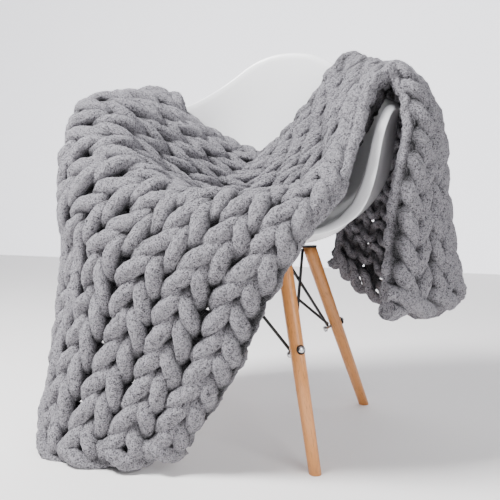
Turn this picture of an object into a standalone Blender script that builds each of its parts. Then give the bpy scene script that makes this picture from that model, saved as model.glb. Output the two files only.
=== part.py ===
"""A chunky knit blanket thrown over a moulded shell armchair on four wooden legs.

Metres, +Z up. The chair's front faces -Y. The blanket is one solid of its true draped form: it hangs
from the front of the seat to the floor, dips into the seat and goes over both arms.
The origin is the middle of the whole object's footprint, on the floor.
"""

import math

import bmesh
import bpy
import numpy as np
from mathutils import Matrix, Vector

GAP = 0.0003  # between pieces that touch

# Blanket
BLANKET_THICK = 0.046  # two strands of 28 mm yarn, pressed together
BLANKET_CLEAR = 0.009  # between the cloth and the rim that it rests on
BLANKET_ACROSS = 26  # cells across its width
BLANKET_ALONG = 52  # cells along its length

# Chair shell
SHELL_THICK = 0.005
SEAT_CENTRE = Vector((0.0, -0.03, 0.412))  # top of the shell where it is lowest
SHELL_SQUARENESS = 2.9  # 2 is a bowl, more is a flatter seat with steeper walls
LIP_SIDEWAYS = 0.6  # share of its front-to-back reach that the lip's direction leaves out
SHELL_AROUND = 60
SHELL_RINGS = 10

# Legs and their steel
LEG_TOP = Vector((0.103, 0.094, 0.387))  # the leg at +X, +Y; the others mirror it
LEG_FOOT = Vector((0.207, 0.218, 0.0))
LEG_RADII = ((0.0, 0.0110), (0.55, 0.0142), (0.9, 0.0150), (1.0, 0.0150))  # (share of length, radius)
LEG_SIDES = 20
BOLT_HEIGHT = 0.206
BOLT_RADIUS = 0.0030
BOLT_HEAD_RADIUS = 0.0068
WASHER_RADIUS = 0.0092
WASHER_THICK = 0.0016
ROD_RADIUS = 0.0033
PLATE_THICK = 0.004
PLATE_WIDTH = 0.034
MOUNT_RADIUS = 0.018
MOUNT_REACH = 0.088  # of the rubber mounts from the middle of the plate
ROD_END_DROP = 0.004  # from the top of a leg to the end of a rod beside it
ROD_START_INWARD = {"outer": 0.0, "inner": 0.005}  # from a rod that touches the leg
ROD_END_INWARD = {"outer": 0.012, "inner": 0.024}  # from the leg's middle line
ROD_END_ALONG = {"outer": 0.0205, "inner": 0.0285}

CORNERS = {"front_right": (1, -1), "rear_right": (1, 1), "rear_left": (-1, 1), "front_left": (-1, -1)}

# The blanket's middle surface. A row is a section across the blanket; the columns are six lines that
# run its whole length, from the edge beside the viewer's right arm (near) to the edge at the back (far).
SECTIONS = (
    # name            near                    second                  third
    #                 fourth                  fifth                   far
    ("front hem", (-0.020, -0.292, 0.052), (-0.165, -0.333, 0.021), (-0.300, -0.310, 0.021),
                  (-0.370, -0.150, 0.140), (-0.382, 0.000, 0.320), (-0.380, 0.110, 0.480)),
    ("shin", (0.055, -0.292, 0.168), (-0.100, -0.315, 0.165), (-0.255, -0.298, 0.175),
             (-0.352, -0.160, 0.290), (-0.366, -0.010, 0.455), (-0.375, 0.120, 0.585)),
    ("knee", (0.110, -0.292, 0.275), (-0.035, -0.315, 0.295), (-0.187, -0.303, 0.315),
             (-0.325, -0.191, 0.410), (-0.342, -0.050, 0.585), (-0.348, 0.125, 0.680)),
    ("under the seat edge", (0.157, -0.294, 0.375), (0.020, -0.315, 0.415), (-0.137, -0.307, 0.437),
                            (-0.312, -0.204, 0.565), (-0.330, -0.090, 0.690), (-0.283, 0.140, 0.748)),
    ("over the seat edge", (0.194, -0.281, 0.460), (0.075, -0.280, 0.490), (-0.070, -0.270, 0.500),
                           (-0.243, -0.188, 0.625), (-0.272, -0.055, 0.702), (-0.205, 0.150, 0.668)),
    ("into the seat", (0.226, -0.228, 0.525), (0.145, -0.205, 0.495), (0.020, -0.185, 0.470),
                      (-0.140, -0.115, 0.530), (-0.170, 0.030, 0.620), (-0.125, 0.170, 0.625)),
    ("seat", (0.248, -0.168, 0.600), (0.200, -0.125, 0.535), (0.110, -0.095, 0.465),
             (0.000, -0.010, 0.460), (-0.050, 0.090, 0.535), (-0.030, 0.180, 0.605)),
    ("up the inside", (0.263, -0.108, 0.685), (0.240, -0.060, 0.640), (0.195, 0.000, 0.580),
                      (0.130, 0.085, 0.540), (0.085, 0.150, 0.620), (0.065, 0.190, 0.710)),
    ("over the right arm", (0.307, -0.080, 0.735), (0.308, -0.015, 0.740), (0.293, 0.075, 0.757),
                           (0.250, 0.165, 0.785), (0.205, 0.213, 0.806), (0.162, 0.243, 0.832)),
    ("outside, high", (0.358, -0.108, 0.640), (0.370, -0.030, 0.650), (0.362, 0.075, 0.665),
                      (0.325, 0.195, 0.690), (0.250, 0.280, 0.710), (0.165, 0.315, 0.735)),
    ("outside, low", (0.340, -0.145, 0.480), (0.380, -0.040, 0.480), (0.385, 0.080, 0.480),
                     (0.350, 0.215, 0.480), (0.250, 0.305, 0.490), (0.140, 0.315, 0.535)),
    ("outer hem", (0.333, -0.150, 0.315), (0.397, -0.040, 0.303), (0.415, 0.095, 0.315),
                  (0.355, 0.235, 0.255), (0.240, 0.310, 0.255), (0.115, 0.290, 0.345)),
)

# The shell's rim, half of it: the other half mirrors it in X. The lip is how far the rim curls outwards.
RIM = (
    # place            x      y       z      lip
    ("front middle", 0.000, -0.256, 0.438, 0.022),
    ("front", 0.110, -0.254, 0.437, 0.022),
    ("front corner", 0.197, -0.243, 0.440, 0.026),
    ("arm foot", 0.248, -0.209, 0.470, 0.034),
    ("arm front", 0.277, -0.175, 0.535, 0.026),
    ("arm front, high", 0.286, -0.148, 0.612, 0.024),
    ("arm tip", 0.297, -0.108, 0.665, 0.024),
    ("arm", 0.305, -0.020, 0.674, 0.018),
    ("arm rear", 0.290, 0.085, 0.695, 0.014),
    ("shoulder", 0.243, 0.172, 0.722, 0.012),
    ("shoulder, high", 0.198, 0.208, 0.751, 0.012),
    ("beside the top", 0.142, 0.232, 0.791, 0.012),
    ("back", 0.080, 0.245, 0.838, 0.012),
    ("back top", 0.000, 0.250, 0.855, 0.012),
)


def material(name, colour, roughness, metallic=0.0):
    """A plain Principled finish for one sub-part."""
    made = bpy.data.materials.new(name)
    made.use_nodes = True
    shader = made.node_tree.nodes["Principled BSDF"]
    shader.inputs["Base Color"].default_value = (*colour, 1.0)
    shader.inputs["Roughness"].default_value = roughness
    shader.inputs["Metallic"].default_value = metallic
    made.diffuse_color = (*colour, 1.0)
    return made


def add_object(name, mesh_data, finish, smooth_below=None):
    """Puts a bmesh into the scene as one named object."""
    mesh = bpy.data.meshes.new(name)
    bmesh.ops.recalc_face_normals(mesh_data, faces=mesh_data.faces)
    mesh_data.to_mesh(mesh)
    mesh_data.free()
    mesh.materials.append(finish)
    if smooth_below is not None:
        mesh.shade_smooth()
        mesh.set_sharp_from_angle(angle=math.radians(smooth_below))
    made = bpy.data.objects.new(name, mesh)
    bpy.context.scene.collection.objects.link(made)
    return made


def curve_through(points, count, closed=False):
    """`count` points on a smooth curve through the given ones (Catmull-Rom, centripetal spacing)."""
    points = np.asarray(points, float)
    if closed:
        points = np.concatenate([points[-2:], points, points[:3]])
    steps = np.linalg.norm(np.diff(points, axis=0), axis=1) ** 0.5
    knots = np.concatenate([[0.0], np.cumsum(steps)])
    slopes = np.gradient(points, knots, axis=0, edge_order=2)
    first, last = (2, len(points) - 3) if closed else (0, len(points) - 1)
    where = np.linspace(knots[first], knots[last], count, endpoint=not closed)
    piece = np.clip(np.searchsorted(knots, where, side="right") - 1, 0, len(knots) - 2)
    span = (knots[piece + 1] - knots[piece])[:, None]
    t = (where - knots[piece])[:, None] / span
    start, end = points[piece], points[piece + 1]
    rise_start, rise_end = slopes[piece] * span, slopes[piece + 1] * span
    return (
        (2 * t**3 - 3 * t**2 + 1) * start
        + (t**3 - 2 * t**2 + t) * rise_start
        + (3 * t**2 - 2 * t**3) * end
        + (t**3 - t**2) * rise_end
    )


def spaced(line, count):
    """`count` points at even distances along a polyline."""
    lengths = np.concatenate([[0.0], np.cumsum(np.linalg.norm(np.diff(line, axis=0), axis=1))])
    where = np.linspace(0.0, lengths[-1], count)
    return np.stack([np.interp(where, lengths, line[:, axis]) for axis in range(3)], axis=1)


def shell_rim(count):
    """The shell's rim all the way round: `count` points with the lip's width as a fourth number."""
    half = [np.array(row[1:]) for row in RIM]
    mirrored = [point * (-1, 1, 1, 1) for point in reversed(half[1:-1])]
    return curve_through(half + mirrored, count, closed=True)


def lip_direction(rim):
    """The level direction in which the rim curls outwards, turned sideways of straight out."""
    sideways = rim[:, :3] * (1, 1 - LIP_SIDEWAYS, 0)
    return sideways / np.linalg.norm(sideways, axis=1, keepdims=True)


def lifted_off(grid, edge):
    """Moves the cloth off a hard edge that it rests on, to half its thickness and a little more."""
    reach = BLANKET_THICK / 2 + BLANKET_CLEAR
    for _ in range(6):
        offset = grid[:, :, None] - edge
        distance = np.linalg.norm(offset, axis=3)
        nearest = np.expand_dims(distance.argmin(axis=2), (2, 3))
        offset = np.take_along_axis(offset, nearest, axis=2)[:, :, 0]
        length = np.linalg.norm(offset, axis=2, keepdims=True)
        grid = grid + offset / length * np.clip(reach - length, 0, None)
        middle = grid[1:-1, 1:-1]
        around = (grid[2:, 1:-1] + grid[:-2, 1:-1] + grid[1:-1, 2:] + grid[1:-1, :-2]) / 4
        middle += (around - middle) * 0.15
    return grid


def draped_surface(across, along):
    """The blanket's middle surface as an even grid [along, across, xyz] of points."""
    fine = 8 * len(SECTIONS)
    table = np.array([row[1:] for row in SECTIONS])
    lines = np.stack([curve_through(table[:, column], fine) for column in range(6)], axis=1)
    grid = np.stack([curve_through(section, fine) for section in lines])
    rim = shell_rim(4 * SHELL_AROUND)
    lip = rim[:, :3] + lip_direction(rim) * rim[:, 3:]
    grid = lifted_off(grid, np.concatenate([rim[:, :3], (rim[:, :3] + lip) / 2, lip]))
    for _ in range(3):
        grid = np.stack([spaced(section, fine) for section in grid])
        grid = np.stack([spaced(grid[:, column], fine) for column in range(fine)], axis=1)
    rows = np.stack([spaced(grid[:, column], along + 1) for column in range(fine)], axis=1)
    return np.stack([spaced(row, across + 1) for row in rows])


def surface_normals(grid):
    """Unit normals of a grid surface, on the side that faces outwards from the front of the seat."""
    along = np.gradient(grid, axis=0)
    across = np.gradient(grid, axis=1)
    normal = np.cross(along, across)
    normal /= np.linalg.norm(normal, axis=2, keepdims=True)
    return normal


def make_blanket():
    """One sheet of even thickness with a half-round edge, and flat where its hem stands on the floor."""
    middle = draped_surface(BLANKET_ACROSS, BLANKET_ALONG)
    normal = surface_normals(middle)
    half = BLANKET_THICK / 2
    outward = np.zeros_like(middle)
    for index, side in ((0, 1), (-1, -2)):
        outward[index] += middle[index] - middle[side]
        outward[:, index] += middle[:, index] - middle[:, side]
    length = np.linalg.norm(outward, axis=2, keepdims=True)
    outward = np.divide(outward, length, out=outward, where=length > 0)
    draft = bmesh.new()

    def add_layer(grid):
        grid = grid.copy()
        grid[:, :, 2] = np.maximum(grid[:, :, 2], 0.0)
        return [[draft.verts.new(point) for point in row] for row in grid]

    # The edge is a half circle of four facets: two shoulders and a nose line between them.
    lean, rise = math.sin(math.radians(45)), math.cos(math.radians(45))
    front = add_layer(middle + normal * half)
    back = add_layer(middle - normal * half)
    edge_layers = [
        add_layer(middle + (outward * lean + normal * rise) * half),
        add_layer(middle + outward * half),
        add_layer(middle + (outward * lean - normal * rise) * half),
    ]
    rows, columns = len(front), len(front[0])
    for row in range(rows - 1):
        for column in range(columns - 1):
            cell = ((row, column), (row, column + 1), (row + 1, column + 1), (row + 1, column))
            draft.faces.new([front[r][c] for r, c in cell])
            draft.faces.new([back[r][c] for r, c in reversed(cell)])
    border = [(0, c) for c in range(columns)] + [(r, columns - 1) for r in range(1, rows)]
    border += [(rows - 1, c) for c in range(columns - 2, -1, -1)] + [(r, 0) for r in range(rows - 2, 0, -1)]
    stack = [front, *edge_layers, back]
    for here, after in zip(border, border[1:] + border[:1]):
        for upper, lower in zip(stack, stack[1:]):
            corners = (upper[here[0]][here[1]], upper[after[0]][after[1]])
            corners += (lower[after[0]][after[1]], lower[here[0]][here[1]])
            draft.faces.new(corners)
    loose = [vertex for vertex in draft.verts if not vertex.link_faces]
    bmesh.ops.delete(draft, geom=loose, context="VERTS")
    bmesh.ops.triangulate(draft, faces=draft.faces)
    add_object("blanket", draft, material("chenille_yarn", (0.40, 0.385, 0.405), 0.95), 80)


def make_shell():
    """One moulded bucket: seat, back and arms in one wall, with a rim that curls outwards."""
    outline = shell_rim(SHELL_AROUND)
    rim, lip_width = outline[:, :3], outline[:, 3:]
    centre = np.array(SEAT_CENTRE)
    power = 2 / SHELL_SQUARENESS

    def unit(vectors):
        return vectors / np.linalg.norm(vectors, axis=1, keepdims=True)

    outwards = unit((rim - centre) * (1, 1, 0))
    sideways = lip_direction(outline)

    def ring(turn, offset):
        """Points round the wall at `turn` (0 seat centre, 1 rim), `offset` outside its inner face."""
        angle = turn * math.pi / 2
        reach, climb = math.sin(angle) ** power, 1 - math.cos(angle) ** power
        wall = centre + (rim - centre) * (reach, reach, climb)
        steep = np.clip((rim[:, 2:] - centre[2]) / 0.2, 0.15, 1) * turn**2
        return wall + offset * unit(outwards * steep + (1 - steep) * (0, 0, -1))

    def lip(share, past, drop):
        """Points round the rim, moved out by a share of the lip and a bit past it, and down."""
        return rim + sideways * (share * lip_width + past) - (0, 0, drop)

    turns = [(index / SHELL_RINGS) ** 0.85 for index in range(1, SHELL_RINGS + 1)]
    rings = [ring(turn, 0.0) for turn in turns[:-1]]
    rings += [lip(0, 0, 0), lip(0.35, 0, -0.003), lip(0.75, 0, -0.002), lip(1, 0, 0.004)]
    rings += [lip(1, -0.002, 0.007), lip(0.65, 0, 0.0042), lip(0, SHELL_THICK, 0.008)]
    rings += [ring(turn, SHELL_THICK) for turn in reversed(turns[:-2])]
    draft = bmesh.new()
    top = draft.verts.new(SEAT_CENTRE)
    bottom = draft.verts.new(SEAT_CENTRE - Vector((0, 0, SHELL_THICK)))
    loops = [[draft.verts.new(point) for point in points] for points in rings]
    for index in range(SHELL_AROUND):
        after = (index + 1) % SHELL_AROUND
        draft.faces.new((top, loops[0][index], loops[0][after]))
        draft.faces.new((bottom, loops[-1][after], loops[-1][index]))
        for inner, outer in zip(loops, loops[1:]):
            draft.faces.new((inner[index], outer[index], outer[after], inner[after]))
    bmesh.ops.triangulate(draft, faces=draft.faces)
    add_object("shell", draft, material("white_plastic", (0.86, 0.86, 0.87), 0.25), 40)


def turned(draft, start, end, radii, sides):
    """A round bar from start to end, whose radius follows (share of length, radius) pairs."""
    start, end = Vector(start), Vector(end)
    frame = (end - start).to_track_quat("Z", "Y").to_matrix()
    loops = []
    for share, radius in radii:
        centre = start.lerp(end, share)
        loops.append([
            draft.verts.new(centre + frame @ Vector((radius * math.cos(a), radius * math.sin(a), 0)))
            for a in (2 * math.pi * index / sides for index in range(sides))
        ])
    for lower, upper in zip(loops, loops[1:]):
        for index in range(sides):
            after = (index + 1) % sides
            draft.faces.new((lower[index], lower[after], upper[after], upper[index]))
    draft.faces.new(reversed(loops[0]))
    draft.faces.new(loops[-1])


def leg_axis(corner):
    side = Vector((*corner, 1))
    return LEG_FOOT * side, LEG_TOP * side


def at_height(foot, top, height):
    return foot.lerp(top, (height - foot.z) / (top.z - foot.z))


def make_leg(name, corner, wood):
    """A tapered dowel that splays out, cut level at the floor and under the steel plate."""
    foot, top = leg_axis(corner)
    run = (top - foot).normalized()
    draft = bmesh.new()
    turned(draft, foot - run * 0.03, top + run * 0.03, LEG_RADII, LEG_SIDES)
    for level, keep_above in ((0.0, True), (top.z - GAP, False)):
        cut = bmesh.ops.bisect_plane(
            draft, geom=draft.verts[:] + draft.edges[:] + draft.faces[:], plane_co=(0, 0, level),
            plane_no=(0, 0, 1), clear_inner=keep_above, clear_outer=not keep_above,
        )
        rim = [item for item in cut["geom_cut"] if isinstance(item, bmesh.types.BMEdge)]
        bmesh.ops.contextual_create(draft, geom=rim)
    return add_object(f"leg_{name}", draft, wood, 40)


def inward(corner):
    return -Vector((corner[0], corner[1], 0)).normalized()


def bolt_axis(corner):
    """Where the bolt crosses the leg's middle line, and its inward direction square to the leg."""
    foot, top = leg_axis(corner)
    run = (top - foot).normalized()
    side = inward(corner)
    return at_height(foot, top, BOLT_HEIGHT), (side - run * side.dot(run)).normalized()


def leg_radius_at(height):
    shares, radii = zip(*LEG_RADII)
    return float(np.interp(height / LEG_TOP.z, shares, radii))


def hole_cutter(name, corner):
    """The bolt's hole through the leg: a guide, not a piece."""
    centre, direction = bolt_axis(corner)
    draft = bmesh.new()
    radius = BOLT_RADIUS + GAP
    turned(draft, centre - direction * 0.05, centre + direction * 0.05, ((0, radius), (1, radius)), 12)
    cutter = add_object(f"hole_{name}", draft, None)
    cutter.hide_render = True
    cutter.display_type = "WIRE"
    return cutter


def make_bolt(name, corner, steel):
    """Head, shank through the leg and a nut on the inside, in one turned piece."""
    centre, direction = bolt_axis(corner)
    leg = leg_radius_at(BOLT_HEIGHT)
    head_face = -(leg + WASHER_THICK + 2 * GAP)
    nut_face = leg + 4 * ROD_RADIUS + GAP
    ends = (
        (head_face - 0.0045, BOLT_HEAD_RADIUS * 0.45),
        (head_face - 0.0038, BOLT_HEAD_RADIUS * 0.8),
        (head_face - 0.0018, BOLT_HEAD_RADIUS),
        (head_face, BOLT_HEAD_RADIUS),
        (head_face, BOLT_RADIUS),
        (nut_face, BOLT_RADIUS),
        (nut_face, BOLT_HEAD_RADIUS),
        (nut_face + 0.005, BOLT_HEAD_RADIUS),
    )
    start, end = ends[0][0], ends[-1][0]
    radii = [((place - start) / (end - start), radius) for place, radius in ends]
    draft = bmesh.new()
    turned(draft, centre + direction * start, centre + direction * end, radii, 12)
    return add_object(f"bolt_{name}", draft, steel, 30)


def make_washer(name, corner, rubber):
    """A black ring between the bolt's head and the leg."""
    centre, direction = bolt_axis(corner)
    face = -(leg_radius_at(BOLT_HEIGHT) + GAP)
    draft = bmesh.new()
    frame = direction.to_track_quat("Z", "Y").to_matrix()
    loops = []
    for place, radius in (
        (face - WASHER_THICK, BOLT_RADIUS + GAP), (face - WASHER_THICK, WASHER_RADIUS),
        (face, WASHER_RADIUS), (face, BOLT_RADIUS + GAP),
    ):
        middle = centre + direction * place
        loops.append([
            draft.verts.new(middle + frame @ Vector((radius * math.cos(a), radius * math.sin(a), 0)))
            for a in (2 * math.pi * index / 16 for index in range(16))
        ])
    for lower, upper in zip(loops, loops[1:] + loops[:1]):
        for index in range(16):
            after = (index + 1) % 16
            draft.faces.new((lower[index], lower[after], upper[after], upper[index]))
    return add_object(f"washer_{name}", draft, rubber, 30)


def make_rod(name, low_corner, high_corner, place, steel):
    """A brace from one leg's bolt up to the plate beside the next leg."""
    along = (Vector((*high_corner, 0)) - Vector((*low_corner, 0))).normalized()
    high = at_height(*leg_axis(high_corner), LEG_TOP.z - ROD_END_DROP)
    high += inward(high_corner) * ROD_END_INWARD[place] - along * ROD_END_ALONG[place]
    centre, side = bolt_axis(low_corner)
    outward = high - centre
    outward = (outward - side * outward.dot(side)).normalized()
    low = centre + side * (leg_radius_at(BOLT_HEIGHT) + ROD_RADIUS + GAP + ROD_START_INWARD[place])
    low += outward * (BOLT_RADIUS + ROD_RADIUS + GAP)
    draft = bmesh.new()
    turned(draft, low, high, ((0, ROD_RADIUS), (1, ROD_RADIUS)), 10)
    return add_object(name, draft, steel, 40)


def make_plate(steel):
    """The flat steel cross that the legs stand under and the shell is mounted on."""
    arms = [Vector((LEG_TOP.x * x, LEG_TOP.y * y, 0)) for x, y in ((1, 1), (-1, 1), (-1, -1), (1, -1))]
    radius = PLATE_WIDTH / 2
    outline = []
    for tip, next_tip in zip(arms, arms[1:] + arms[:1]):
        direction = tip.normalized()
        across = Vector((-direction.y, direction.x, 0))
        for step in range(9):
            a = math.pi * (step / 8 - 0.5)
            outline.append(tip + direction * (radius * math.cos(a)) + across * (radius * math.sin(a)))
        inner_corner = direction + next_tip.normalized()
        outline.append(inner_corner.normalized() * (radius / math.sin(inner_corner.angle(direction))))
    draft = bmesh.new()
    face = draft.faces.new([draft.verts.new(point + Vector((0, 0, LEG_TOP.z))) for point in outline])
    lifted = bmesh.ops.extrude_face_region(draft, geom=[face])
    top = [item for item in lifted["geom"] if isinstance(item, bmesh.types.BMVert)]
    bmesh.ops.translate(draft, verts=top, vec=(0, 0, PLATE_THICK))
    bmesh.ops.triangulate(draft, faces=draft.faces)
    return add_object("seat_plate", draft, steel, 30)


def make_mount(name, corner, rubber):
    """A rubber mount between the steel plate and the shell."""
    spot = -inward(corner) * MOUNT_REACH
    low = LEG_TOP.z + PLATE_THICK + GAP
    high = SEAT_CENTRE.z - SHELL_THICK - 0.0010
    draft = bmesh.new()
    ends = ((0, MOUNT_RADIUS), (1, MOUNT_RADIUS * 0.86))
    turned(draft, (spot.x, spot.y, low), (spot.x, spot.y, high), ends, 20)
    return add_object(f"mount_{name}", draft, rubber, 30)


def centre_on_floor(pieces):
    """Moves every piece so that the middle of the whole footprint is the origin."""
    low, high = np.full(3, np.inf), np.full(3, -np.inf)
    graph = bpy.context.evaluated_depsgraph_get()
    for piece in pieces:
        mesh = piece.evaluated_get(graph).to_mesh()
        points = np.array([vertex.co for vertex in mesh.vertices])
        low, high = np.minimum(low, points.min(axis=0)), np.maximum(high, points.max(axis=0))
    middle = (low + high) / 2
    for item in bpy.context.scene.objects:
        item.data.transform(Matrix.Translation((-middle[0], -middle[1], 0)))


def build():
    for item in list(bpy.data.objects):
        bpy.data.objects.remove(item, do_unlink=True)
    wood = material("beech", (0.62, 0.36, 0.17), 0.45)
    black = material("black_steel", (0.012, 0.012, 0.013), 0.35, 0.6)
    bright = material("bright_steel", (0.75, 0.75, 0.76), 0.25, 1.0)
    rubber = material("black_rubber", (0.015, 0.015, 0.016), 0.7)
    make_blanket()
    make_shell()
    make_plate(black)
    for name, corner in CORNERS.items():
        leg = make_leg(name, corner, wood)
        hole = leg.modifiers.new("bolt hole", "BOOLEAN")
        hole.object = hole_cutter(name, corner)
        make_bolt(name, corner, bright)
        make_washer(name, corner, rubber)
        make_mount(name, corner, rubber)
    names = list(CORNERS)
    for index, name in enumerate(names):
        after = names[(index + 1) % 4]
        make_rod(f"rod_{name}_to_{after}", CORNERS[name], CORNERS[after], "outer", black)
        make_rod(f"rod_{after}_to_{name}", CORNERS[after], CORNERS[name], "inner", black)
    bpy.context.view_layer.update()
    centre_on_floor([item for item in bpy.context.scene.objects if not item.hide_render])


build()
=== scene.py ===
"""The looks of a chunky knit blanket on a moulded shell chair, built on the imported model."""

import math

import bmesh
import bpy
import numpy as np
from mathutils import Euler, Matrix, Vector, kdtree, noise


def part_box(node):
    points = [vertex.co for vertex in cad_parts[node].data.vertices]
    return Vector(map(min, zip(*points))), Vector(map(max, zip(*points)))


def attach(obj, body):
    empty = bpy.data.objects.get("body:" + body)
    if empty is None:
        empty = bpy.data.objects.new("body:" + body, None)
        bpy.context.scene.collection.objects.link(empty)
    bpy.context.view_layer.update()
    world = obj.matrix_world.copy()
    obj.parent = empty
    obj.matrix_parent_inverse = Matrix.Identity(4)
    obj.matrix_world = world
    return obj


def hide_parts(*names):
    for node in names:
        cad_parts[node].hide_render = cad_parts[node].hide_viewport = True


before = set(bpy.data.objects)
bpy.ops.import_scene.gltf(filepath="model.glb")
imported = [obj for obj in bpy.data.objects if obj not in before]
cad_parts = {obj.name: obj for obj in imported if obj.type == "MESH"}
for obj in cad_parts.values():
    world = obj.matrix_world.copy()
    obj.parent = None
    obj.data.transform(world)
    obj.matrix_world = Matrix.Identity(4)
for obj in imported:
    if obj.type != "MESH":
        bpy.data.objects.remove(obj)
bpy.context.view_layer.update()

# The camera, at about the height of the seat and to the right of the chair's front. Its place is given
# from the middle of the four legs on the floor.
leg_boxes = np.array([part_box(name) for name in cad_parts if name.startswith("leg_")])
chair = Vector((leg_boxes[:, 0].min(axis=0) + leg_boxes[:, 1].max(axis=0)) / 2) * Vector((1, 1, 0))
lens = bpy.data.cameras.new("camera")
lens.lens, lens.sensor_width = 47.71, 36.0
camera = bpy.data.objects.new("camera", lens)
camera.location = chair + Vector((0.5177, -1.3454, 0.5005))
camera.rotation_euler = Euler([math.radians(angle) for angle in (85.386, 0.0, 21.2014)])
bpy.context.scene.collection.objects.link(camera)
bpy.context.scene.camera = camera


# Studio light: a pale room all round, a large soft lamp in front on the left, above the camera, and a
# weaker one on the right that keeps the outer drape from going dark.
def linear(hex_colour):
    """A linear RGBA colour from an sRGB hex value."""
    parts = [int(hex_colour[index:index + 2], 16) / 255 for index in (1, 3, 5)]
    return (*[part / 12.92 if part <= 0.04045 else ((part + 0.055) / 1.055) ** 2.4 for part in parts], 1.0)


room = bpy.data.worlds.new("room")
room.use_nodes = True
room.node_tree.nodes["Background"].inputs["Color"].default_value = linear("#EDEDF1")
room.node_tree.nodes["Background"].inputs["Strength"].default_value = 0.42
bpy.context.scene.world = room
LIT_HEIGHT = 0.45  # of the point above the floor that the lamps face
for name, place, size, watts in (
    ("key lamp", (-1.3, -1.2, 2.6), 0.8, 235.0),
    ("fill lamp", (2.0, -1.2, 1.6), 1.4, 30.0),
):
    lamp = bpy.data.lights.new(name, "AREA")
    lamp.energy, lamp.size = watts, size
    holder = bpy.data.objects.new(name, lamp)
    holder.location = chair + Vector(place)
    aim = chair + Vector((0.0, 0.0, LIT_HEIGHT)) - holder.location
    holder.rotation_euler = aim.to_track_quat("-Z", "Y").to_euler()
    bpy.context.scene.collection.objects.link(holder)


# The floor: a pale, plain, matte studio sheet.
def add_node(tree, kind, settings=None, values=None, links=None):
    """Adds a node with its settings, its unlinked values and its incoming links."""
    made = tree.nodes.new(kind)
    for key, value in (settings or {}).items():
        setattr(made, key, value)
    for key, value in (values or {}).items():
        made.inputs[key].default_value = value
    for key, source in (links or {}).items():
        tree.links.new(source, made.inputs[key])
    return made


def plain_material(name, hex_colour, **values):
    """A Principled material whose sockets are set directly; returns it with its tree and shader."""
    made = bpy.data.materials.new(name)
    made.use_nodes = True
    shader = made.node_tree.nodes["Principled BSDF"]
    shader.inputs["Base Color"].default_value = linear(hex_colour)
    for key, value in values.items():
        shader.inputs[key.replace("_", " ")].default_value = value
    return made, made.node_tree, shader


def add_piece(name, draft, material, sharp_above=None):
    """Puts a bmesh into the scene as a smooth-shaded piece."""
    mesh = bpy.data.meshes.new(name)
    draft.to_mesh(mesh)
    draft.free()
    mesh.materials.append(material)
    mesh.shade_smooth()
    if sharp_above is not None:
        mesh.set_sharp_from_angle(angle=math.radians(sharp_above))
    made = bpy.data.objects.new(name, mesh)
    bpy.context.scene.collection.objects.link(made)
    return made


FLOOR_REACH = 9.0  # from the floor's middle to its edges
matte_sheet, _, _ = plain_material("matte studio sheet", "#EFEDEC", Roughness=0.9)
draft = bmesh.new()
bmesh.ops.create_grid(draft, x_segments=1, y_segments=1, size=FLOOR_REACH)
bmesh.ops.translate(draft, verts=draft.verts, vec=(0, FLOOR_REACH * 2 / 3, 0))
floor = add_piece("floor", draft, matte_sheet)

# The wall behind: a pale sheet that glows evenly, as if it were lit from behind.
WALL_REACH = 6.0
WALL_PLACE = 3.2  # metres behind the middle of the frame
lit_sheet, _, _ = plain_material("lit studio sheet", "#E6E6EA", Roughness=0.9, Emission_Strength=1.5)
lit_sheet.node_tree.nodes["Principled BSDF"].inputs["Emission Color"].default_value = linear("#EDEDF2")
draft = bmesh.new()
bmesh.ops.create_grid(draft, x_segments=1, y_segments=1, size=WALL_REACH)
bmesh.ops.rotate(draft, verts=draft.verts, matrix=Euler((math.pi / 2, 0, 0)).to_matrix())
bmesh.ops.translate(draft, verts=draft.verts, vec=(0, WALL_PLACE, 0))
wall = add_piece("wall", draft, lit_sheet)


# The chair's hard pieces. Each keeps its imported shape: a merged copy of it gets smooth shading and its
# own finish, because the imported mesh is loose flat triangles.
def finish_node(node, material, sharp_above, rounds=0):
    """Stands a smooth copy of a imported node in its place."""
    draft = bmesh.new()
    draft.from_mesh(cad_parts[node].data)
    bmesh.ops.remove_doubles(draft, verts=draft.verts, dist=1e-5)
    if rounds:
        bmesh.ops.join_triangles(
            draft, faces=draft.faces, angle_face_threshold=math.radians(50),
            angle_shape_threshold=math.radians(60),
        )
    made = add_piece(f"{node}.finished", draft, material, sharp_above)
    if rounds:
        rounded = made.modifiers.new("rounded", "SUBSURF")
        rounded.levels = rounded.render_levels = rounds
    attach(made, "root")
    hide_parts(node)
    return made


# The shell: one piece of polypropylene, injection moulded, glossy and slightly uneven where it cooled.
moulded_plastic, tree, shader = plain_material(
    "moulded polypropylene", "#F7F7F9", Roughness=0.24, IOR=1.49, Coat_Weight=0.15, Coat_Roughness=0.1
)
place = add_node(tree, "ShaderNodeTexCoord")
SINK_MARK = 0.045  # metres between the slow hollows that cooling leaves
hollows = add_node(tree, "ShaderNodeTexNoise", values={"Scale": 1 / SINK_MARK, "Detail": 1.0},
                   links={"Vector": place.outputs["Object"]})
relief = add_node(tree, "ShaderNodeBump", values={"Strength": 0.25, "Distance": 0.0006},
                  links={"Height": hollows.outputs["Fac"]})
tree.links.new(relief.outputs["Normal"], shader.inputs["Normal"])
finish_node("shell", moulded_plastic, 70, rounds=1)


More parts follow.
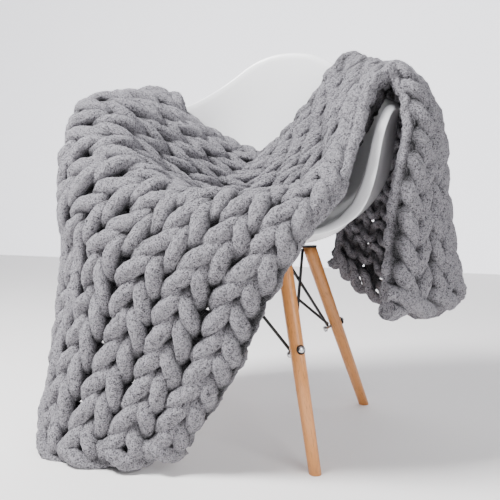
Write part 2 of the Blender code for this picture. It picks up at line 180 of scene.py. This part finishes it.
# The legs: turned beech dowels, sanded and clear varnished. The grain runs along each leg, so each leg
# has its own turned pattern.
def beech(name, tilt):
    """Varnished beech: pale brown with slow bands and the short dark flecks of its rays."""
    made, tree, shader = plain_material(
        name, "#C08A5B", Roughness=0.38, Coat_Weight=0.25, Coat_Roughness=0.2
    )
    place = add_node(tree, "ShaderNodeTexCoord")
    turn = add_node(tree, "ShaderNodeMapping", {"vector_type": "TEXTURE"}, {"Rotation": tilt},
                    {"Vector": place.outputs["Object"]})
    band_width, fleck_width = 0.009, 0.0012
    bands = add_node(tree, "ShaderNodeMapping", values={"Scale": [1 / band_width, 1 / band_width, 1.6]},
                     links={"Vector": turn.outputs["Vector"]})
    flecks = add_node(tree, "ShaderNodeMapping", values={"Scale": [1 / fleck_width, 1 / fleck_width, 70.0]},
                      links={"Vector": turn.outputs["Vector"]})
    slow = add_node(tree, "ShaderNodeTexNoise", values={"Scale": 1.0, "Detail": 3.0, "Distortion": 0.4},
                    links={"Vector": bands.outputs["Vector"]})
    fine = add_node(tree, "ShaderNodeTexNoise", values={"Scale": 1.0, "Detail": 1.0},
                    links={"Vector": flecks.outputs["Vector"]})
    tone = add_node(tree, "ShaderNodeMix", {"data_type": "RGBA"},
                    {"A": linear("#EEAA68"), "B": linear("#CB7C3C")}, {"Factor": slow.outputs["Fac"]})
    narrow = add_node(tree, "ShaderNodeMapRange",
                      values={"From Min": 0.58, "From Max": 0.74, "To Min": 0.0, "To Max": 0.55},
                      links={"Value": fine.outputs["Fac"]})
    grain = add_node(tree, "ShaderNodeMix", {"data_type": "RGBA"}, {"B": linear("#7A4A28")},
                     {"Factor": narrow.outputs["Result"], "A": tone.outputs["Result"]})
    tree.links.new(grain.outputs["Result"], shader.inputs["Base Color"])
    relief = add_node(tree, "ShaderNodeBump", values={"Strength": 0.15, "Distance": 0.0003},
                      links={"Height": slow.outputs["Fac"]})
    tree.links.new(relief.outputs["Normal"], shader.inputs["Normal"])
    return made


LEG_LEAN = Vector((-0.104, -0.124, 0.387))  # of the leg at +X, +Y, from its foot to its top
CORNERS = {"front_right": (1, -1), "rear_right": (1, 1), "rear_left": (-1, 1), "front_left": (-1, -1)}
for corner, (x, y) in CORNERS.items():
    lean = LEG_LEAN * Vector((x, y, 1))
    wood = beech(f"varnished beech {corner}", lean.to_track_quat("Z", "Y").to_euler())
    finish_node(f"leg_{corner}", wood, 45)


# The steel under the shell: a flat cross and eight round rods, welded and painted satin black. The
# paint has the faint orange peel of powder coating.
painted_steel, tree, shader = plain_material("powder coated steel", "#141415", Roughness=0.4)
place = add_node(tree, "ShaderNodeTexCoord")
PEEL = 0.0016
peel = add_node(tree, "ShaderNodeTexNoise", values={"Scale": 1 / PEEL, "Detail": 2.0},
                links={"Vector": place.outputs["Object"]})
relief = add_node(tree, "ShaderNodeBump", values={"Strength": 0.2, "Distance": 0.0002},
                  links={"Height": peel.outputs["Fac"]})
tree.links.new(relief.outputs["Normal"], shader.inputs["Normal"])
for node in [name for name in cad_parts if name.startswith("rod_") or name == "seat_plate"]:
    finish_node(node, painted_steel, 50)

# The bolts: zinc plated steel, bright, with the fine scratches of a tumbled finish.
zinc_plate, tree, shader = plain_material("zinc plated steel", "#D6D6D8", Metallic=1.0, Roughness=0.28)
place = add_node(tree, "ShaderNodeTexCoord")
SCRATCH = 0.0007
scratches = add_node(tree, "ShaderNodeTexNoise", values={"Scale": 1 / SCRATCH, "Detail": 2.0},
                     links={"Vector": place.outputs["Object"]})
dull = add_node(tree, "ShaderNodeMapRange", values={"To Min": 0.2, "To Max": 0.38},
                links={"Value": scratches.outputs["Fac"]})
tree.links.new(dull.outputs["Result"], shader.inputs["Roughness"])

# The rubber: black rings under the bolts' heads and round blocks under the shell, moulded and dull.
moulded_rubber, tree, shader = plain_material("moulded rubber", "#171717", Roughness=0.75)
place = add_node(tree, "ShaderNodeTexCoord")
GRIT = 0.0009
grit = add_node(tree, "ShaderNodeTexNoise", values={"Scale": 1 / GRIT, "Detail": 2.0},
                links={"Vector": place.outputs["Object"]})
relief = add_node(tree, "ShaderNodeBump", values={"Strength": 0.3, "Distance": 0.0002},
                  links={"Height": grit.outputs["Fac"]})
tree.links.new(relief.outputs["Normal"], shader.inputs["Normal"])
for corner in CORNERS:
    finish_node(f"bolt_{corner}", zinc_plate, 35)
    finish_node(f"washer_{corner}", moulded_rubber, 35)
    finish_node(f"mount_{corner}", moulded_rubber, 35)

# The blanket: one strip of plain knitting, eleven stitches wide and twenty six rows long, in chenille
# yarn about 30 mm thick. It was cast on at the end that hangs outside the right arm and bound off at
# the end on the floor. Its knitted side is outwards.
BLANKET_THICK = 0.046
BLANKET_CLEAR = 0.009  # between the cloth and the rim that it rests on
LIP_SIDEWAYS = 0.6  # share of its front-to-back reach that the lip's direction leaves out
RIM_POINTS = 240

# The middle surface of the cloth, from the middle of the chair on the floor. A row is a section across
# the blanket; the columns are six lines along its length, from the edge by the right arm to the rear.
SECTIONS = (
    # name            near                    second                  third
    #                 fourth                  fifth                   far
    ("front hem", (-0.020, -0.292, 0.052), (-0.165, -0.333, 0.021), (-0.300, -0.310, 0.021),
                  (-0.370, -0.150, 0.140), (-0.382, 0.000, 0.320), (-0.380, 0.110, 0.480)),
    ("shin", (0.055, -0.292, 0.168), (-0.100, -0.315, 0.165), (-0.255, -0.298, 0.175),
             (-0.352, -0.160, 0.290), (-0.366, -0.010, 0.455), (-0.375, 0.120, 0.585)),
    ("knee", (0.110, -0.292, 0.275), (-0.035, -0.315, 0.295), (-0.187, -0.303, 0.315),
             (-0.325, -0.191, 0.410), (-0.342, -0.050, 0.585), (-0.348, 0.125, 0.680)),
    ("under the seat edge", (0.157, -0.294, 0.375), (0.020, -0.315, 0.415), (-0.137, -0.307, 0.437),
                            (-0.312, -0.204, 0.565), (-0.330, -0.090, 0.690), (-0.283, 0.140, 0.748)),
    ("over the seat edge", (0.194, -0.281, 0.460), (0.075, -0.280, 0.490), (-0.070, -0.270, 0.500),
                           (-0.243, -0.188, 0.625), (-0.272, -0.055, 0.702), (-0.205, 0.150, 0.668)),
    ("into the seat", (0.226, -0.228, 0.525), (0.145, -0.205, 0.495), (0.020, -0.185, 0.470),
                      (-0.140, -0.115, 0.530), (-0.170, 0.030, 0.620), (-0.125, 0.170, 0.625)),
    ("seat", (0.248, -0.168, 0.600), (0.200, -0.125, 0.535), (0.110, -0.095, 0.465),
             (0.000, -0.010, 0.460), (-0.050, 0.090, 0.535), (-0.030, 0.180, 0.605)),
    ("up the inside", (0.263, -0.108, 0.685), (0.240, -0.060, 0.640), (0.195, 0.000, 0.580),
                      (0.130, 0.085, 0.540), (0.085, 0.150, 0.620), (0.065, 0.190, 0.710)),
    ("over the right arm", (0.307, -0.080, 0.735), (0.308, -0.015, 0.740), (0.293, 0.075, 0.757),
                           (0.250, 0.165, 0.785), (0.205, 0.213, 0.806), (0.162, 0.243, 0.832)),
    ("outside, high", (0.358, -0.108, 0.640), (0.370, -0.030, 0.650), (0.362, 0.075, 0.665),
                      (0.325, 0.195, 0.690), (0.250, 0.280, 0.710), (0.165, 0.315, 0.735)),
    ("outside, low", (0.340, -0.145, 0.480), (0.380, -0.040, 0.480), (0.385, 0.080, 0.480),
                     (0.350, 0.215, 0.480), (0.250, 0.305, 0.490), (0.140, 0.315, 0.535)),
    ("outer hem", (0.333, -0.150, 0.315), (0.397, -0.040, 0.303), (0.415, 0.095, 0.315),
                  (0.355, 0.235, 0.255), (0.240, 0.310, 0.255), (0.115, 0.290, 0.345)),
)

# The shell's rim, half of it, that the cloth rests on. The lip is how far the rim curls outwards.
RIM = (
    # place            x      y       z      lip
    ("front middle", 0.000, -0.256, 0.438, 0.022),
    ("front", 0.110, -0.254, 0.437, 0.022),
    ("front corner", 0.197, -0.243, 0.440, 0.026),
    ("arm foot", 0.248, -0.209, 0.470, 0.034),
    ("arm front", 0.277, -0.175, 0.535, 0.026),
    ("arm front, high", 0.286, -0.148, 0.612, 0.024),
    ("arm tip", 0.297, -0.108, 0.665, 0.024),
    ("arm", 0.305, -0.020, 0.674, 0.018),
    ("arm rear", 0.290, 0.085, 0.695, 0.014),
    ("shoulder", 0.243, 0.172, 0.722, 0.012),
    ("shoulder, high", 0.198, 0.208, 0.751, 0.012),
    ("beside the top", 0.142, 0.232, 0.791, 0.012),
    ("back", 0.080, 0.245, 0.838, 0.012),
    ("back top", 0.000, 0.250, 0.855, 0.012),
)


def curve_through(points, count, closed=False):
    """`count` points on a smooth curve through the given ones (Catmull-Rom, centripetal spacing)."""
    points = np.asarray(points, float)
    if closed:
        points = np.concatenate([points[-2:], points, points[:3]])
    steps = np.linalg.norm(np.diff(points, axis=0), axis=1) ** 0.5
    knots = np.concatenate([[0.0], np.cumsum(steps)])
    slopes = np.gradient(points, knots, axis=0, edge_order=2)
    first, last = (2, len(points) - 3) if closed else (0, len(points) - 1)
    where = np.linspace(knots[first], knots[last], count, endpoint=not closed)
    piece = np.clip(np.searchsorted(knots, where, side="right") - 1, 0, len(knots) - 2)
    span = (knots[piece + 1] - knots[piece])[:, None]
    t = (where - knots[piece])[:, None] / span
    start, end = points[piece], points[piece + 1]
    rise_start, rise_end = slopes[piece] * span, slopes[piece + 1] * span
    return (
        (2 * t**3 - 3 * t**2 + 1) * start
        + (t**3 - 2 * t**2 + t) * rise_start
        + (3 * t**2 - 2 * t**3) * end
        + (t**3 - t**2) * rise_end
    )


def spaced_along(line, count):
    """`count` points at even distances along a polyline."""
    lengths = np.concatenate([[0.0], np.cumsum(np.linalg.norm(np.diff(line, axis=0), axis=1))])
    where = np.linspace(0.0, lengths[-1], count)
    return np.stack([np.interp(where, lengths, line[:, axis]) for axis in range(3)], axis=1)


def shell_rim(count):
    """The shell's rim all the way round: `count` points with the lip's width as a fourth number."""
    half = [np.array(row[1:]) for row in RIM]
    mirrored = [point * (-1, 1, 1, 1) for point in reversed(half[1:-1])]
    return curve_through(half + mirrored, count, closed=True)


def lip_direction(rim):
    """The level direction in which the rim curls outwards, turned sideways of straight out."""
    sideways = rim[:, :3] * (1, 1 - LIP_SIDEWAYS, 0)
    return sideways / np.linalg.norm(sideways, axis=1, keepdims=True)


def lifted_off(grid, edge):
    """Moves the cloth off a hard edge that it rests on, to half its thickness and a little more."""
    reach = BLANKET_THICK / 2 + BLANKET_CLEAR
    rounds, smoothing = 6, 0.15
    for _ in range(rounds):
        offset = grid[:, :, None] - edge
        distance = np.linalg.norm(offset, axis=3)
        nearest = np.expand_dims(distance.argmin(axis=2), (2, 3))
        offset = np.take_along_axis(offset, nearest, axis=2)[:, :, 0]
        length = np.linalg.norm(offset, axis=2, keepdims=True)
        grid = grid + offset / length * np.clip(reach - length, 0, None)
        middle = grid[1:-1, 1:-1]
        around = (grid[2:, 1:-1] + grid[:-2, 1:-1] + grid[1:-1, 2:] + grid[1:-1, :-2]) / 4
        middle += (around - middle) * smoothing
    return grid


def surface_normals(grid):
    """Unit normals of a grid surface, on the side that faces outwards from the front of the seat."""
    along = np.gradient(grid, axis=0)
    across = np.gradient(grid, axis=1)
    normal = np.cross(along, across)
    normal /= np.linalg.norm(normal, axis=2, keepdims=True)
    return normal


grid_lines = 8 * len(SECTIONS)  # of the cloth's grid, each way
table = np.array([row[1:] for row in SECTIONS])
lines = np.stack([curve_through(table[:, column], grid_lines) for column in range(6)], axis=1)
cloth = np.stack([curve_through(section, grid_lines) for section in lines])
rim = shell_rim(RIM_POINTS)
lip = rim[:, :3] + lip_direction(rim) * rim[:, 3:]
cloth = lifted_off(cloth, np.concatenate([rim[:, :3], (rim[:, :3] + lip) / 2, lip]))
for _ in range(3):
    cloth = np.stack([spaced_along(section, grid_lines) for section in cloth])
    cloth = np.stack([spaced_along(cloth[:, column], grid_lines) for column in range(grid_lines)], axis=1)
cloth_normals = surface_normals(cloth)
cloth = cloth + np.array(chair)

# The yarn follows its real path: up one side of a stitch, over behind the next row, and down the other
# side. Distances across are in stitches, distances along are in rows.
noise.seed_set(2)  # so that the stitches stray in the same way on every run
STITCHES = 11
ROWS = 26
HEM = 0.2  # rows that the cloth reaches past the last one
ROW_MIDDLE = 0.6  # rows from the cast-on edge to the middle of the first row
YARN_RADIUS = 0.0153
PLUMP = 0.10  # how much fatter the yarn is where it is free, and thinner where it is pressed
LOOP_REACH = 0.88  # rows from a stitch's middle to the top of its loop
LOOP_SWING = 0.235  # stitches
LOOP_PINCH = 0.03  # stitches by which both sides of a loop lean to its middle
YARN_DEPTH = 0.0095  # of the yarn's middle line in front of and behind the cloth's middle
FREE_WIDTH = 0.074  # of a stitch whose yarn isn't pressed thinner
THINNEST, THICKEST = 0.71, 1.02  # shares of the yarn's radius that crowding leaves it
EDGE_REACH = 0.035  # share of the width by which the knitting reaches past the near edge in the seat
BUNCHING = 0.42  # how much wider than the rest the stitches by the near edge are, over the right arm
WANDER = 0.13, 0.20, 0.005  # how far hand knitting strays: stitches across, rows along, metres off
SAMPLES = 50  # along one stitch
YARN_SIDES = 24


def on_cloth(across, along, lift):
    """The point at so many stitches across and rows along, lifted off the middle surface."""
    v = 1 - np.asarray(along) / (ROWS + HEM)
    reach = EDGE_REACH * np.clip((v - 0.22) / 0.2, 0.1, 1) * np.clip((0.8 - v) / 0.2, 0.1, 1)
    u = np.asarray(across) / STITCHES * (1 + reach) - reach
    bunched = BUNCHING * np.clip((v - 0.35) / 0.25, 0, 1)
    u = u + bunched * u * (1 - u)
    u, v = u * (cloth.shape[1] - 1), v * (cloth.shape[0] - 1)
    column = np.clip(np.floor(u).astype(int), 0, cloth.shape[1] - 2)
    row = np.clip(np.floor(v).astype(int), 0, cloth.shape[0] - 2)
    s, t = (u - column)[:, None], (v - row)[:, None]

    def blend(grid):
        near = grid[row, column] * (1 - s) + grid[row, column + 1] * s
        return near * (1 - t) + (grid[row + 1, column] * (1 - s) + grid[row + 1, column + 1] * s) * t

    return blend(cloth) + blend(cloth_normals) * np.asarray(lift)[:, None]


def empty_yarns():
    """A curve object's data that draws each of its lines as a round yarn."""
    made = bpy.data.curves.new("yarns", "CURVE")
    made.dimensions = "3D"
    made.bevel_depth = YARN_RADIUS
    made.bevel_resolution = (YARN_SIDES - 4) // 2
    made.use_fill_caps = True
    return made


def lay_yarn(yarns, across, along, lift, plump):
    """Lays one length of yarn along the cloth, with hand-made unevenness."""
    wander = np.array([noise.noise_vector(Vector((a * 0.9, b * 0.9, 3.7))) for a, b in zip(across, along)])
    wander *= WANDER
    points = on_cloth(across + wander[:, 0], along + wander[:, 1], lift + wander[:, 2])
    width = 2 * np.linalg.norm(
        on_cloth(across + 0.25, along, lift) - on_cloth(across - 0.25, along, lift), axis=1
    )
    plump = plump * np.clip(width / FREE_WIDTH, THINNEST, THICKEST)
    spline = yarns.splines.new("POLY")
    spline.points.add(len(points) - 1)
    spline.points.foreach_set("co", np.c_[points, np.ones(len(points))].ravel())
    spline.points.foreach_set("radius", np.asarray(plump, dtype=np.float32))


def knit_row(yarns, row):
    """One row: a loop for each stitch, and at both ends the bend that leads to the next row."""
    angle = np.linspace(-math.pi, math.pi * (2 * STITCHES - 1), STITCHES * SAMPLES + 1)
    swing = LOOP_SWING * np.sin(2 * angle) - LOOP_PINCH * np.sin(angle)
    lay_yarn(
        yarns, (angle + math.pi) / (2 * math.pi) + swing, row + ROW_MIDDLE + LOOP_REACH * np.cos(angle),
        -YARN_DEPTH * np.cos(2 * angle), 1 - PLUMP * np.cos(2 * angle),
    )
    bend = np.linspace(0, 1, 12)
    for edge, outwards in ((0, -1), (STITCHES, 1)):
        lay_yarn(
            yarns, edge + outwards * (0.05 * np.sin(math.pi * bend) - 0.04),
            row + ROW_MIDDLE - LOOP_REACH + bend * 1.05, np.full(len(bend), -1.1 * YARN_DEPTH),
            np.full(len(bend), 0.72),
        )


def edge_chain(yarns, along):
    """The cast-on or bind-off chain, which lies along a short edge as a braid of two strands."""
    run = np.linspace(-0.1, STITCHES + 0.1, STITCHES * 20)
    for strand in (0, math.pi):
        lay_yarn(
            yarns, run, along + 0.30 * np.cos(math.pi * run + strand),
            0.012 * np.sin(math.pi * run + strand), np.full(len(run), 1.12),
        )


# The finished yarns become a mesh, flattened where they lie on the floor, and the pile's lumps are
# pushed out of it. It is made as five lengths that interlock.
LUMP = 0.0070  # metres between the lumps of the pile
LUMP_HEIGHT = 0.0030
CREASE = 0.0085  # metres from the cloth's middle surface, up to which the yarn gets the full painted crease shade
CROWN = 0.0200  # metres from it, past which the yarn has no painted crease shade
cloth_tree = kdtree.KDTree(cloth.shape[0] * cloth.shape[1])
for index, point in enumerate(cloth.reshape(-1, 3)):
    cloth_tree.insert(point, index)
cloth_tree.balance()


def yarn_mesh(yarns):
    """A bmesh of the yarns with the pile's lumps."""
    carrier = bpy.data.objects.new("yarns", yarns)
    bpy.context.scene.collection.objects.link(carrier)
    tubes = bpy.data.meshes.new_from_object(carrier.evaluated_get(bpy.context.evaluated_depsgraph_get()))
    bpy.data.objects.remove(carrier, do_unlink=True)
    draft = bmesh.new()
    draft.from_mesh(tubes)
    bmesh.ops.recalc_face_normals(draft, faces=draft.faces)
    # Painted shade: a share for each point, 0 deep in the creases near the cloth's middle surface and 1 on
    # the yarns' crowns.
    free = draft.verts.layers.float.new("clear_of_painted_shade")
    for vertex in draft.verts:
        height = cloth_tree.find(vertex.co)[2]
        vertex[free] = min(max((height - CREASE) / (CROWN - CREASE), 0.0), 1.0)
        lump = noise.noise(vertex.co / LUMP) + 0.6 * noise.noise(vertex.co / LUMP * 2.1)
        vertex.co += vertex.normal * (lump * LUMP_HEIGHT)
        vertex.co.z = max(vertex.co.z, 0.0)
    return draft


# Chenille: short cut pile all round a core, so it has no shine but a pale bloom at its edges. Its colour
# holds painted shade: darker between the tufts, and near black in the creases between the yarns. The tufts
# are about 3 mm across and stand in clumps of about 6 mm.
chenille, tree, shader = plain_material(
    "chenille yarn", "#8E8C91", Roughness=1.0, Sheen_Weight=0.3, Sheen_Roughness=0.5,
)
shader.inputs["Specular IOR Level"].default_value = 0.1
shader.inputs["Sheen Tint"].default_value = linear("#E9E8EE")
place = add_node(tree, "ShaderNodeTexCoord")
TUFT, CLUMP = 0.0026, 0.0065
tufts = add_node(tree, "ShaderNodeTexNoise", values={"Scale": 1 / TUFT, "Detail": 2.0, "Roughness": 0.6},
                 links={"Vector": place.outputs["Object"]})
clumps = add_node(tree, "ShaderNodeTexNoise", values={"Scale": 1 / CLUMP, "Detail": 2.0},
                  links={"Vector": place.outputs["Object"]})
pile = add_node(tree, "ShaderNodeMix", {"data_type": "FLOAT"}, {"Factor": 0.3},
                {"A": tufts.outputs["Fac"], "B": clumps.outputs["Fac"]})
# Painted shade: the pile's low spots between the tufts are darkened towards #343236.
shade = add_node(tree, "ShaderNodeMapRange", values={"From Min": 0.35, "From Max": 0.55},
                 links={"Value": pile.outputs["Result"]})
tone = add_node(tree, "ShaderNodeMix", {"data_type": "RGBA"},
                {"A": linear("#343236"), "B": linear("#B4B1B8")}, {"Factor": shade.outputs["Result"]})
# Painted shade: the yarn's colour goes to near black #121113 where it lies deep in the creases.
crease_shade_attribute = add_node(tree, "ShaderNodeAttribute", {"attribute_name": "clear_of_painted_shade"})
shown = add_node(tree, "ShaderNodeMix", {"data_type": "RGBA"}, {"A": linear("#121113")},
                 {"Factor": crease_shade_attribute.outputs["Fac"], "B": tone.outputs["Result"]})
tree.links.new(shown.outputs["Result"], shader.inputs["Base Color"])
relief = add_node(tree, "ShaderNodeBump", values={"Strength": 1.0, "Distance": 0.018},
                  links={"Height": pile.outputs["Result"]})
tree.links.new(relief.outputs["Normal"], shader.inputs["Normal"])

for name, first, last in (
    ("knit_drape", 0, 4), ("knit_arm", 5, 9), ("knit_seat", 10, 15), ("knit_lap", 16, 20),
    ("knit_front", 21, ROWS - 1),
):
    yarns = empty_yarns()
    for row in range(first, last + 1):
        knit_row(yarns, row)
    if first == 0:
        edge_chain(yarns, -0.02)
    if last == ROWS - 1:
        edge_chain(yarns, ROWS + HEM)
    knit = add_piece(name, yarn_mesh(yarns), chenille)
    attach(knit, "root")
    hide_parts("blanket")
